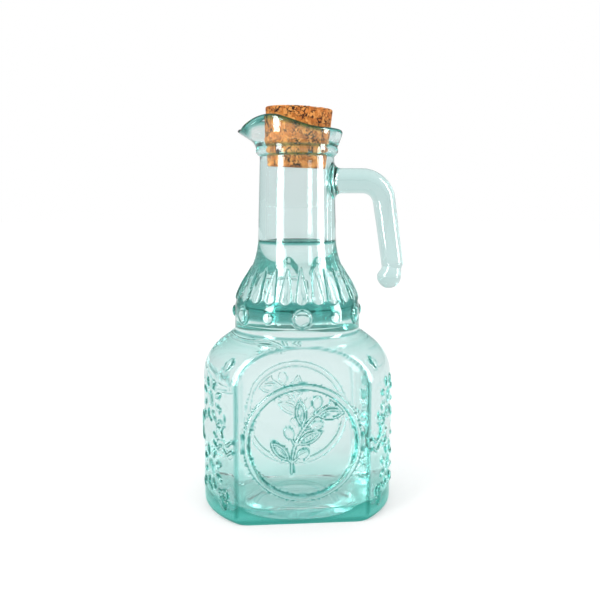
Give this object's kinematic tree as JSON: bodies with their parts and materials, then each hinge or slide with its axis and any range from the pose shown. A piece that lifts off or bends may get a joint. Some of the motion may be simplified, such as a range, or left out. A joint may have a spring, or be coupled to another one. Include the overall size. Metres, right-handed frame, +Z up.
{
  "type": "oil bottle with handle",
  "caption": "Tinted pressed glass oil bottle with flat arched panels, a drawn handle, a pouring lip and a cork stopper, filled with clear liquid.",
  "frame": {"origin": "centre of the base on the axis of the neck, on the plane the bottle stands on", "axes": "+Z up along the neck, +X towards the handle with the pouring lip towards -X, flat panels facing -Y and +Y"},
  "size_m": [0.0959, 0.0686, 0.1863],
  "materials": {
    "tinted_glass": "pressed glass, pale blue-green, smooth and glossy",
    "clear_liquid": "clear colourless liquid",
    "cork": "pressed granulated cork, matt"
  },
  "bodies": {
    "root": {"glass_bottle": "tinted_glass", "oil": "clear_liquid", "cork_stopper": "cork"}
  },
  "joints": []
}
